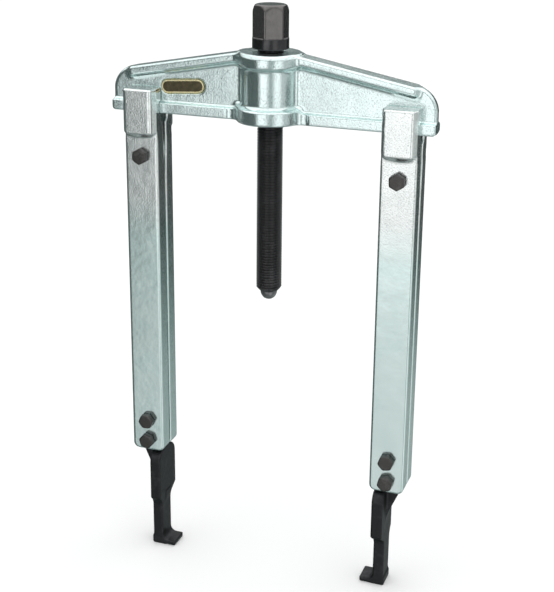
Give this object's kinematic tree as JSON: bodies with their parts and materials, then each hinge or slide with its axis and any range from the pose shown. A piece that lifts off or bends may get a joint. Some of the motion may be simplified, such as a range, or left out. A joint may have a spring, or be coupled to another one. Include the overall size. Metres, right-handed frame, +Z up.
{
  "type": "two-arm gear puller",
  "caption": "Gear puller with a sloping forged crossbeam, a threaded pressure spindle, and long slim legs that slide on the beam and end in slim inward claws.",
  "frame": {"origin": "on the spindle's axis, in the plane of the undersides of the two hooks, at the middle of the crossbeam's length", "axes": "+Z up along the spindle towards its hexagon head; X along the crossbeam, with the name plate on the -X half; -Y is the front, where the bolt heads are"},
  "size_m": [0.1808, 0.0364, 0.3253],
  "materials": {
    "zinc": "forged steel, zinc plated with a pale blue passivate, finely grained and fairly bright",
    "black_oxide": "phosphated and oiled black steel, satin",
    "bolt_black": "black oxide steel fasteners, satin",
    "hard_steel": "hardened steel, ground",
    "label": "dark printed plate with a pale gold rim, plain"
  },
  "bodies": {
    "crossbeam": {"crossbeam": "zinc", "name_plate": "label"},
    "tip": {"spindle_tip": "hard_steel"},
    "spindle": {"spindle": "black_oxide"},
    "left_arm": {"left_front_bar": "zinc", "left_back_bar": "zinc", "left_hook": "black_oxide", "left_top_bolt": "bolt_black", "left_top_nut": "bolt_black", "left_middle_bolt": "bolt_black", "left_middle_nut": "bolt_black", "left_bottom_bolt": "bolt_black", "left_bottom_nut": "bolt_black"},
    "right_arm": {"right_front_bar": "zinc", "right_back_bar": "zinc", "right_hook": "black_oxide", "right_top_bolt": "bolt_black", "right_top_nut": "bolt_black", "right_middle_bolt": "bolt_black", "right_middle_nut": "bolt_black", "right_bottom_bolt": "bolt_black", "right_bottom_nut": "bolt_black"}
  },
  "joints": [
    {"name": "spindle_feed", "type": "slide", "parent": "crossbeam", "child": "tip", "axis": [0, 0, 1], "range_m": [-0.0012, 0.09]},
    {"name": "spindle_turn", "type": "hinge", "parent": "tip", "child": "spindle", "pos_m": [0, 0, 0.2], "axis": [0, 0, 1], "range_deg": [-290, 21610]},
    {"name": "left_arm_slide", "type": "slide", "parent": "crossbeam", "child": "left_arm", "axis": [1, 0, 0], "range_m": [-0.0086, 0.0425]},
    {"name": "right_arm_slide", "type": "slide", "parent": "crossbeam", "child": "right_arm", "axis": [1, 0, 0], "range_m": [-0.0446, 0.0065]}
  ],
  "couplings": [
    {"joint": "spindle_turn", "follows": "spindle_feed", "rad_per_m": 4188.8}
  ]
}
